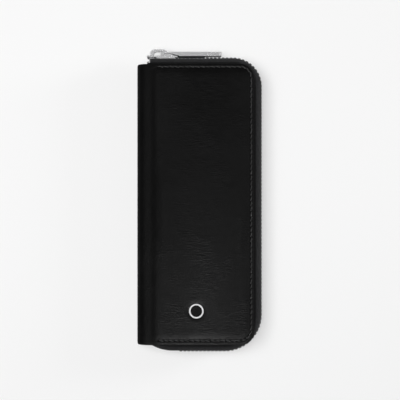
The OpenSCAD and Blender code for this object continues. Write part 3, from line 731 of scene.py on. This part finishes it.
LEATHER_PLAN = (LEFT, EDGE_X, HALF, CORNER_R, CORNER_R)
LEATHER_STEPS = (90, 18, 192)
LEATHER_RINGS = [(inset * MM, s) for inset, s in (
    (5.2, 1), (2.2, 1), (0.35, 1), (0.08, 0.93), (0, 0.72), (0, 0.36), (0.05, 0.12))]
LEATHER_RINGS += [(inset * MM, 0) for inset in (
    0.18, 0.42, 0.75, 1.1, 1.35, *np.linspace(1.55, 2.95, 8), 3.2, 3.75, 4.5, 5.2)]
SEAM_PLAN = (SEAM_START, EDGE_X, HALF - SEAM_RISE, CORNER_R, CORNER_R)
SEAM_LENGTH = trace_length(SEAM_PLAN, SEAM_IN)
SEAM_LIFT = 0.16 * MM  # of the stitches above the sunken skin
EMBLEM_LAP = 0.45 * MM  # how far the leather goes under the emblem's bezel

PANEL_X = GROOVE_X + 1.4 * MM  # the crowned panel begins here
CROWN_X = (PANEL_X + EDGE_X) / 2
CROWN_HALF_W = (EDGE_X - PANEL_X) / 2 - 2.4 * MM
CROWN_HALF_L = HALF - 11 * MM
CROWN_SOFT = 0.12  # how softly the dome's foot runs out,
CROWN_SCALE = 0.97  # and what makes up for the height that this adds
CROWN_FADE, CROWN_FADE_X = 6 * MM, 7 * MM
SHOULDER = 7 * MM  # the cover slopes down to the spine over this much,
SHOULDER_DROP = 0.85 * MM  # by this much,
SHOULDER_TURN = 1.3 * SPINE_R  # and rises again round the spine's edge
SHOULDER_SLOPE = 0.44
RIPPLES = 7

# Heights and depths that the skin has besides, with the widths that they run out over.
PUFF, PUFF_W, PUFF_X = 0.25 * MM, 3.5 * MM, 4 * MM  # swelling inside the seam
WAVES, WAVES_W, WAVES_IN = 0.16 * MM, 9 * MM, 2 * MM  # slow unevenness, away from the edge
FOLD, FOLD_W = 0.15 * MM, 2.1 * MM  # groove beside the spine
SINK, SINK_W = 0.22 * MM, 0.5 * MM  # along the seam
HOLE, HOLE_W, HOLE_L, HOLE_IN = 0.4 * MM, 0.36 * MM, 0.4 * MM, 0.12 * MM  # at each stitch hole
ROLL, ROLL_W = 0.3 * MM, 0.7 * MM  # over the cut edge
PRESS, PRESS_W = 0.3 * MM, 0.9 * MM  # round the emblem


def crown_height(x, y):
    """Dome raised by the padding, with the frame's curves and a soft foot instead of its edge."""
    t = 1 - ((x - CROWN_X) / CROWN_HALF_W) ** 2 - (y / CROWN_HALF_L) ** 2
    dome = (t + np.sqrt(t * t + CROWN_SOFT)) / 2 * CROWN * CROWN_SCALE
    d = edge_distance(x, y, LEATHER_PLAN)
    return dome * smooth_step((d - SEAM_IN) / CROWN_FADE) * smooth_step((x - GROOVE_X) / CROWN_FADE_X)


def ripple(x, y, seed, reach):
    """Slow unevenness of hand-laid skins, at or below 1. reach holds its waves per metre both ways."""
    rng = np.random.default_rng(seed)
    total = 0
    for _ in range(RIPPLES):
        kx, ky = rng.uniform(-1, 1, 2) * reach
        total = total + np.sin(kx * x + ky * y + rng.uniform(0, 6.3)) / RIPPLES
    return total


def shoulder(x):
    """How far the cover sinks beside the spine: it slopes down to the rounded edge and on round it."""
    u = np.clip((x - ARC_X) / SHOULDER, 0, 1)
    v = np.clip((ARC_X - x) / SHOULDER_TURN, 0, 1)
    return (SHOULDER_DROP + SHOULDER_SLOPE * SHOULDER_TURN * v) * ((1 - u) * (1 - v)) ** 2


def skin_height(x, y, front, seed):
    """Rise of the leather's outer face above its level edge."""
    d = edge_distance(x, y, LEATHER_PLAN)
    to_seam = edge_distance(x, y - SEAM_RISE, SEAM_PLAN) - SEAM_IN
    s = along(x, y - SEAM_RISE, SEAM_PLAN, SEAM_IN) - (SEAM_LENGTH % STITCH) / 2
    to_hole = np.abs((s + STITCH / 2) % STITCH - STITCH / 2)
    sewn = smooth_step((x - SEAM_START) / MM + 0.5)
    seam = sewn * bell(to_seam, SINK_W)
    holes = sewn * bell(to_seam - HOLE_IN, HOLE_W) * bell(to_hole, HOLE_L)
    puff = smooth_step(to_seam / PUFF_W) * smooth_step((x - GROOVE_X) / PUFF_X)
    inner = smooth_step((d - WAVES_IN) / WAVES_W) * smooth_step((x - GROOVE_X) / WAVES_W)
    waves = ripple(x, y, seed, (150, 75)) * inner
    total = (PUFF * puff + WAVES * waves - FOLD * bell(x - GROOVE_X, FOLD_W) - SINK * seam
             - HOLE * holes - ROLL * bell(d, ROLL_W) - shoulder(x))
    if not front:
        return total
    ring = np.hypot(x - EMBLEM[0], y - EMBLEM[1]) - EMBLEM_R
    return total + crown_height(x, y) - PRESS * bell(np.maximum(ring, 0), PRESS_W)


def build_emblem_shade_ring(name, seed, mat):
    """Dark matte ring in the pressed groove round the emblem's bezel: painted shade."""
    r, tube_r, sunk = EMBLEM_R + 0.12 * MM, 0.22 * MM, 0.02 * MM
    a = np.linspace(0, 2 * math.pi, 97)[:, None]
    b = np.linspace(0, 2 * math.pi, 12, endpoint=False)
    reach = r + tube_r * np.cos(b)
    x, y = EMBLEM[0] + reach * np.cos(a), EMBLEM[1] + reach * np.sin(a)
    z = EDGE_Z + skin_height(x, y, True, seed) - sunk + tube_r * np.sin(b)
    return tube(name, stacked(x, y, z), stacked(x, y), mat, cap=False)


def build_leather(name, front, seed, mat):
    def place(x, y, s):
        outer = skin_height(x, y, front, seed)
        inner = (crown_height(x, y) if front else 0) - LEATHER_T
        return laid(x, y, outer * (1 - s) + inner * s, front)

    hole = (*EMBLEM, EMBLEM_R - EMBLEM_LAP) if front else None
    return shell(name, LEATHER_PLAN, LEATHER_RINGS, LEATHER_STEPS, place, mat, hole)


def build_seam(name, front, seed, mat):
    def place(x, y, up):
        return laid(x, y, skin_height(x, y, front, seed) + SEAM_LIFT + up, front)

    def line(s):
        x, y, out = trace(s, SEAM_PLAN, SEAM_IN)
        return x, y + SEAM_RISE, out

    return stitch_row(name, line, SEAM_LENGTH, place, mat)


# ---- Linings, and the zip tapes that they make room for ----

TAPE_T = 0.8 * MM
TAPE_BEND_R = 5 * MM
TAPE_OUT = ZIP_REACH - TAPE_T
TAPE_FLANGE = 4 * MM
TAPE_EDGE = 1.35 * MM  # distance of the tape's edge from the chain's middle
POST_ROOM = 1.8 * MM  # the same beside the slider's post,
POST_RUN = (2.1 * MM, 4.6 * MM)  # and distances from the tape's end between which it closes up
TAPE_WAVE = 0.02  # how much the tape waves with the teeth
PAINTED_SHADE_REACH, PAINTED_SHADE_FADE = 0.4 * MM, 0.5 * MM  # how far the shade painted along the leather's edge reaches out, and how softly it ends
TAPER_R = 20 * MM
TAPER_ANGLE = math.radians(30)
LINING_PLAN = cut_in((LEFT, EDGE_X, HALF, ZIP_TOP_R, ZIP_LOW_R), LINING_INSET)
LINING_STEPS = (60, 14, 110)
LINING_RINGS = [(inset * MM, s) for inset, s in (
    (1.6, 1), (0.7, 1), (0.3, 0.97), (0.08, 0.82), (0, 0.5), (0.08, 0.18), (0.3, 0), (1.6, 0))]
TAPER_ROOM = (TAPER_R - (TAPER_R + TAPE_OUT - TAPE_BEND_R) * math.cos(TAPER_ANGLE)
              + 0.3 * MM - LINING_INSET)
DRAW_REACH, DRAW_FADE = 14 * MM, 4 * MM


def build_lining(name, front, seed, mat):
    """Cloth that draws back at its lower end, where the zip curves in under the leather."""
    def place(x, y, s):
        right, left = TAPER_X + 2 * MM - x, x - ARC_X + 5 * MM
        near = smooth_step(left / DRAW_FADE) * smooth_step(right / DRAW_FADE)
        lift = TAPER_ROOM * near * np.clip((DRAW_REACH - HALF - y) / DRAW_REACH, 0, 1)
        uneven = 0.05 * MM * ripple(x, y, seed, (300, 200))
        return laid(x, y + lift, -(LINING_TOP + (SKINS_T - LINING_TOP + uneven) * s), front)

    return shell(name, LINING_PLAN, LINING_RINGS, LINING_STEPS, place, mat)


def build_lining_seam(name, front, mat):
    plan, inset = (TAPER_X + 3 * MM, *LINING_PLAN[1:]), 2 * MM
    return stitch_row(name, lambda s: trace(s, plan, inset), trace_length(plan, inset),
                      lambda x, y, up: laid(x, y, -SKINS_T - 0.05 * MM - up, front), mat)


def tape_line(edge):
    """Middle line of the back tape's section, from its sewn strip to its upright edge."""
    bend = TAPE_OUT - TAPE_BEND_R
    z0 = LEATHER_T + TAPE_BEND_R
    strip = stacked(np.linspace(bend - TAPE_FLANGE, bend, 5)[:-1], LEATHER_T + TAPE_T / 2)
    rise = stacked(TAPE_OUT - TAPE_T / 2, np.linspace(z0, MID_Z - edge, 9)[1:])
    return np.concatenate([strip, arc_points(bend, z0, TAPE_BEND_R - TAPE_T / 2, 270, 360, 12), rise])


def build_tape(name, front, mat):
    """Half of the tape, which goes round with the zip and curves in under the leather at its lower end."""
    plan = (TAPE_X, EDGE_X, HALF, ZIP_TOP_R, ZIP_LOW_R)
    s = np.linspace(0, trace_length(plan, 0) - (TAPER_X - TAPE_X), 320)
    x, y, out = trace(s, plan, 0)
    turn = np.linspace(0, TAPER_ANGLE, 14)[1:]
    s = np.concatenate([s, s[-1] + TAPER_R * turn])
    x = np.concatenate([x, TAPER_X - TAPER_R * np.sin(turn)])
    y = np.concatenate([y, TAPER_R * (1 - np.cos(turn)) - HALF])
    out = np.concatenate([out, -math.pi / 2 - turn])[:, None]
    parted, shut = POST_RUN
    closing = np.where(y > 0, np.clip((x - TAPE_X - parted) / (shut - parted), 0, 1), 1)
    edges = POST_ROOM + (TAPE_EDGE - POST_ROOM) * closing
    sections = np.stack([ring_section(tape_line(edge), TAPE_T) for edge in edges])
    u, z = sections[..., 0], sections[..., 1]
    # painted shade along the leather's edge, carried in the edge attribute
    border = bell(np.maximum(u - PAINTED_SHADE_REACH, 0), PAINTED_SHADE_FADE)
    wavy = 1 + TAPE_WAVE * np.sin(s * 2 * math.pi / ZIP_PITCH)[:, None]
    u = TAPE_OUT - (TAPE_OUT - u) * wavy
    points = stacked(x[:, None] + u * np.cos(out), y[:, None] + u * np.sin(out), EDGE_Z - z if front else z)
    return tube(name, points, stacked(s[:, None], distances(sections[0])), mat, edge=border)


# ---- Inside ----

PIPING_R = 0.6 * MM
FLAP_PLAN = (low("divider_flap", 0) + PIPING_R, high("divider_flap", 0), high("divider_flap", 1),
             5 * MM, 5 * MM)
FLAP_Z = middle("divider_flap", 2)
FLAP_T = 0.8 * MM
FLAP_STEPS = (56, 8, 130)
FLAP_RINGS = [(inset * MM, s) for inset, s in (
    (1.4, 1), (0.5, 1), (0.15, 0.92), (0.02, 0.7), (0, 0.5), (0.02, 0.3), (0.15, 0.08), (0.5, 0), (1.4, 0))]
FLAP_SEAM_IN = 2.2 * MM
TAB_T = 1 * MM


def build_loops(name, mat):
    """Elastic band that makes two loops, sewn down between and beside them."""
    low_y, high_y = span("pen_loop_band", 1)
    width, round_off = high_y - low_y, 0.4 * MM
    border = np.array([0, 0.12, 0.35]) * MM
    between = np.linspace(2 * round_off, width - 2 * round_off, 26)
    ys = np.concatenate([border, between, width - border[::-1]])
    half_t = LOOP_T / 2 * np.sqrt(np.clip(np.minimum(ys, width - ys) / round_off, 0.1, 1))
    r = LOOP_R - LOOP_T / 2 + np.concatenate([half_t, -half_t[::-1]])
    y = low_y + np.concatenate([ys, ys[::-1]])
    turn = np.linspace(0, 2 * math.pi, 73)[:, None]
    mesh = Mesh()
    for cx in PEN_X:
        mesh.grid(stacked(cx + r * np.cos(turn), y, PEN_Z + r * np.sin(turn)), stacked(LOOP_R * turn, y))
    top, cut = SKINS_T + LOOP_T, 0.25 * MM
    section = np.array([(low_y, SKINS_T), (low_y, top - cut), (low_y + cut, top), (high_y - cut, top),
                        (high_y, top - cut), (high_y, SKINS_T)])
    x = np.linspace(*PEN_X, 9)[:, None]
    mesh.grid(stacked(x, *section.T), stacked(x, section[:, 0]), cap=True)
    return mesh.make(name, mat)


def sleeve_outline(r, sag):
    """Flat-sided outline round both pens' places. Its upper side sags between them."""
    left, right = PEN_X
    t = np.linspace(0, 1, 15)
    upper = stacked(right + (left - right) * t, PEN_Z + r - sag * np.sin(math.pi * t) ** 2)
    lower = stacked(left + (right - left) * t, PEN_Z - r)
    return np.concatenate([upper, arc_points(left, PEN_Z, r, 90, 270, 20)[1:-1], lower,
                           arc_points(right, PEN_Z, r, -90, 90, 20)[1:-1]])


def build_pocket(name, mat):
    """Leather sleeve for the pens' lower ends: closed below, with a turned hem at its mouth."""
    low_y, high_y = span("pen_pocket", 1)
    inner, hem_y, girth = LOOP_R - LOOP_T, high_y - 6 * MM, 110 * MM
    bottom = [(low_y + up * MM, LOOP_R - cut * MM) for up, cut in ((0, 0.7), (0.12, 0.3), (0.5, 0.04))]
    side = [(y, LOOP_R - 0.12 * MM) for y in np.linspace(low_y + 1.5 * MM, hem_y - 0.4 * MM, 14)]
    mouth = [(high_y - down * MM, LOOP_R - cut * MM) for down, cut in ((0.35, 0), (0.08, 0.14), (0, 0.4))]
    lip = [(high_y - 0.08 * MM, inner + 0.14 * MM), (high_y - 0.35 * MM, inner)]
    inside = [(y, inner) for y in np.linspace(high_y - 2 * MM, low_y + LOOP_T, 12)]
    rings, flats = [], []
    for y, r in bottom + side + [(hem_y, LOOP_R)] + mouth + lip + inside:
        x, z = sleeve_outline(r, 0.9 * MM * smooth_step((y - low_y) / (8 * MM))).T
        rings.append(stacked(x, y, z))
        flats.append(stacked(np.linspace(0, girth, len(x)), y))
    return tube(name, np.stack(rings), np.stack(flats), mat)


def build_divider(name, mat):
    """Soft flap, pressed thinner along its seam."""
    def place(x, y, s):
        pressed = 0.25 * bell(edge_distance(x, y, FLAP_PLAN) - FLAP_SEAM_IN, 0.5 * MM)
        z = FLAP_Z + FLAP_T / 2 * (1 - 2 * s) * (1 - pressed) + 0.05 * MM * ripple(x, y, 5, (200, 120))
        return stacked(x, y, z)

    return shell(name, FLAP_PLAN, FLAP_RINGS, FLAP_STEPS, place, mat)


def build_divider_seam(name, side, mat):
    """Seam on the flap's upper face, or on its lower one when side is -1."""
    surface = on_level(FLAP_Z + side * (FLAP_T / 2 - 0.04 * MM), side)
    return stitch_row(name, lambda s: trace(s, FLAP_PLAN, FLAP_SEAM_IN),
                      trace_length(FLAP_PLAN, FLAP_SEAM_IN), surface, mat)


def build_piping(name, mat):
    """Cord along the divider's fold, with rounded ends."""
    x, half, r, end = FLAP_PLAN[0], FLAP_PLAN[2], PIPING_R, 0.1 * MM
    between = np.linspace(r - half, half - r, 90)
    ys = np.concatenate([[-half, end - half], between, [half - end, half]])[:, None]
    rs = r * np.concatenate([[0.35, 0.7], np.ones(90), [0.7, 0.35]])[:, None]
    a = np.linspace(0, 2 * math.pi, 14, endpoint=False)
    return tube(name, stacked(x + rs * np.cos(a), ys, FLAP_Z + rs * np.sin(a)), stacked(ys, r * a), mat)


def build_slip_pocket(name, mat):
    """Flat pocket with a thumb cut."""
    (x0, x1), (y0, y1), levels = (span("front_slip_pocket", axis) for axis in range(3))
    r, thumb = 2 * MM, 10 * MM
    reach = math.degrees(math.asin(0.5))
    outline = np.concatenate([
        arc_points(x0 + r, y0 + r, r, 180, 270, 7),
        arc_points(x1 - r, y0 + r, r, 270, 360, 7),
        arc_points(x1 - r / 2, y1 - r / 2, r / 2, 0, 90, 5),
        arc_points((ARC_X + EDGE_X) / 2, y1 + thumb / 2, thumb, -reach, reach - 180, 25),
        arc_points(x0 + r / 2, y1 - r / 2, r / 2, 90, 180, 5)])
    return plate(name, outline, levels, 0.22 * MM, on_level(0), mat)


def build_slip_seam(name, mat):
    """Seam round three sides of the slip pocket, on its lower face."""
    (x0, x1), (y0, y1), (z, _) = (span("front_slip_pocket", axis) for axis in range(3))
    inset, top = 1.6 * MM, y1 - MM
    line, length = polyline([(x0 + inset, top), (x0 + inset, y0 + inset), (x1 - inset, y0 + inset),
                             (x1 - inset, top)])
    return stitch_row(name, line, length, on_level(z + 0.05 * MM, -1), mat)


def build_tab(name, side, mat):
    """Leather tab that closes the spine's upper end, or its lower one when side is -1."""
    (x0, x1), ends = span("spine_end_tabs", 0), span("spine_end_tabs", 1)
    levels = (ends[1] - TAB_T, ends[1]) if side > 0 else (ends[0], ends[0] + TAB_T)
    r, cut, bottom = 3.6 * MM, 0.2 * MM, SKINS_T + 0.3 * MM
    outline = np.concatenate([
        arc_points(x1 - cut, bottom + cut, cut, 270, 360, 4),
        arc_points(x1 - cut, EDGE_Z - bottom - cut, cut, 0, 90, 4),
        arc_points(ARC_X, EDGE_Z - bottom - r, r, 90, 180, 12),
        [(x0, EDGE_Z - SPINE_R), (x0, SPINE_R)],
        arc_points(ARC_X, bottom + r, r, 180, 270, 12)])
    return plate(name, outline, levels, TAB_T / 4, lambda x, z, y: stacked(x, y, z), mat)


def build_puller_shade_strip(name, mat):
    """Carries the puller's dark backing on under the hollow of its bar from the eye to the slider: painted
    shade.
    """
    x, y, _ = joint_at("puller_swing")
    bar_y = low("puller_bar", 1)
    eye, thick, wider = y - bar_y, 0.55 * MM, 0.06 * MM
    end, under = low("puller_backing", 0) + 0.2 * MM, bar_y - 0.35 * MM
    top = high("slider_body", 1) + 0.42 * MM
    upper = [(x + 0.75 * eye, y + 0.02 * MM), (x + eye, top), (x + 4.8 * MM, top), (end, under + thick)]
    lower = [(a, b - thick) for a, b in upper[::-1]]
    sides = low("puller_bar", 2) - wider, high("puller_bar", 2) + wider
    return plate(name, np.array(upper[::-1] + lower[::-1]), sides, 0.05 * MM, on_level(0), mat)


# ---- Assembly ----

make_camera()
make_stage()

LEATHER = leather_material("black_leather", (0.001, 0.001, 0.00105), 0.36)
TRIM = leather_material("black_trim_leather", (0.006, 0.006, 0.0062), 0.5)
THREAD = thread_material("seam_thread", (0.013, 0.013, 0.0135))
# sewn=True paints shade on the tape along the leather's edge
TAPE = weave_material("zip_tape_weave", (0.018, 0.018, 0.019), 0.8 * MM, 0.05, math.radians(45), sewn=True)
LINING = weave_material("lining_weave", (0.02, 0.02, 0.022), 0.55 * MM, 0.5)
ELASTIC = elastic_material("loop_elastic", (0.014, 0.014, 0.015))
SUEDE = suede_material("divider_suede", (0.018, 0.018, 0.02))
TEETH = gloss_material("dark_teeth", (0.03, 0.03, 0.032), 0.22)
METAL = metal_material("polished_metal", (0.86, 0.86, 0.87), 0.26)
SATIN = metal_material("satin_metal", (0.78, 0.78, 0.79), 0.3)
# dark metal for bevels: painted dark reflection
PAINTED_REFLECTION_METAL = metal_material("shaded_metal_edge", (0.17, 0.17, 0.175), 0.3)
BOARD = board_material("grey_board", (0.22, 0.2, 0.18))
FOAM = board_material("foam", (0.05, 0.05, 0.05))
INLAY = gloss_material("black_inlay", (0.002, 0.002, 0.002), 0.12, 0.1)
# matte black for painted shade
SHADE_BLACK = gloss_material("raw_leather_edge", (0.001, 0.001, 0.001), 0.8, 0.05)

NODE_LOOKS = {
    "back_board": BOARD, "front_board": BOARD, "spine_stiffener": BOARD, "front_padding": FOAM,
    "back_zip_teeth": TEETH, "front_zip_teeth": TEETH, "back_zip_lead_teeth": TEETH,
    "front_zip_lead_teeth": TEETH, "back_top_stop": METAL, "front_top_stop": METAL,
    "zip_bottom_stop": METAL, "emblem_bezel": SATIN, "emblem_inlay": INLAY, "slider_body": METAL,
    "slider_bridge": METAL, "puller_bar": SATIN, "puller_backing": TRIM, "puller_tip": METAL,
}
BEVELS = {  # widths in millimetres
    "slider_body": 0.22, "slider_bridge": 0.35, "puller_bar": 0.3, "puller_tip": 0.35,
    "emblem_bezel": 0.25, "emblem_inlay": 0.2, "zip_bottom_stop": 0.2, "front_top_stop": 0.2,
    "back_top_stop": 0.2,
}
BEVEL_ANGLE = math.radians(35)
# these parts' bevels take the dark metal: painted dark reflection along their edges
SHADED_EDGES = ("slider_body", "slider_bridge", "puller_bar")


def dress_nodes():
    for name, obj in frame["nodes"].items():
        obj.data.materials.clear()
        obj.data.materials.append(NODE_LOOKS.get(name, LINING))
    for name, width in BEVELS.items():
        bevel = frame["nodes"][name].modifiers.new("edge", "BEVEL")
        bevel.width = width * MM
        bevel.segments = 3
        bevel.limit_method = "ANGLE"
        bevel.angle_limit = BEVEL_ANGLE
        if name in SHADED_EDGES:
            frame["nodes"][name].data.materials.append(PAINTED_REFLECTION_METAL)
            bevel.material = 1


def ride(obj, body, slot, *nodes):
    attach(obj, body)
    if nodes:
        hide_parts(*nodes)


def cross_fold(obj, front, reach, slot, *nodes):
    """Bakes a skin's transform and hides the frame's parts that it stands for."""
    x, _, z = joint_at("front_fold" if front else "spine_fold")
    up = reach if front else -reach
    outer, inner = (x - reach, 0, z - up), (x + reach, 0, z + up)
    if front:
        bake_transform(obj)
        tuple(outer)
        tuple(inner)
    else:
        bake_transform(obj)
        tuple(inner)
        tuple(outer)
    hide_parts(*nodes)


FRONT_SEED, BACK_SEED = 11, 23
LEATHER_BEND, LINING_BEND = 1.6 * MM, 3 * MM  # distances from a fold's axis that cross_fold is given; it bends nothing with them

dress_nodes()
for side, front, seed, nodes, lining_nodes in (
        ("front", True, FRONT_SEED, ["front_leather"], ["front_lining"]),
        ("back", False, BACK_SEED, ["back_leather", "spine_leather"], ["back_lining", "spine_lining"])):
    half = f"{side}_half"
    skin = build_leather(f"{side}_leather_skin", front, seed, LEATHER)
    cross_fold(skin, front, LEATHER_BEND, "leather", *nodes)
    ride(build_seam(f"{side}_seam", front, seed, THREAD), half, "leather")
    lining = build_lining(f"{side}_lining_cloth", front, seed + 1, LINING)
    cross_fold(lining, front, LINING_BEND, "lining", *lining_nodes)
    ride(build_lining_seam(f"{side}_lining_seam", front, THREAD), half, "lining")
    ride(build_tape(f"{side}_tape_cloth", front, TAPE), half, "tape", f"{side}_zip_tape")

# dark ring round the emblem's bezel: painted shade
ride(build_emblem_shade_ring("emblem_leather_edge", FRONT_SEED, SHADE_BLACK), "front_half", "leather")
# dark strip under the puller's bar: painted shade
ride(build_puller_shade_strip("puller_leather_lining", SHADE_BLACK), "puller", "leather")
ride(build_loops("pen_loop_elastic", ELASTIC), "back_half", "lining", "pen_loop_band")
y0, y1 = span("pen_loop_band", 1)
for i, x in enumerate((PEN_X[0] + LOOP_R * 0.9, sum(PEN_X) / 2, PEN_X[1] - LOOP_R * 0.9)):
    line, length = polyline([(x, y0 + MM), (x, y1 - MM)])
    row = stitch_row(f"loop_seam_{i}", line, length, on_level(SKINS_T + LOOP_T), THREAD, LOOP_STITCH)
    ride(row, "back_half", "lining")
ride(build_pocket("pen_pocket_leather", TRIM), "back_half", "leather", "pen_pocket")

flap = build_divider("divider_suede", SUEDE)
piping = build_piping("divider_piping", TRIM)
flap_seams = [build_divider_seam(name, side, THREAD)
              for name, side in (("divider_seam", 1), ("divider_back_seam", -1))]
ride(flap, "divider", "lining", "divider_flap")
ride(piping, "divider", "leather")
for seam in flap_seams:
    ride(seam, "divider", "lining")

ride(build_slip_pocket("slip_pocket_leather", TRIM), "front_half", "leather", "front_slip_pocket")
ride(build_slip_seam("slip_pocket_seam", THREAD), "front_half", "leather")
for name, side in (("upper_spine_tab", 1), ("lower_spine_tab", -1)):
    ride(build_tab(name, side, TRIM), "spine", "leather", *(["spine_end_tabs"] if side > 0 else []))
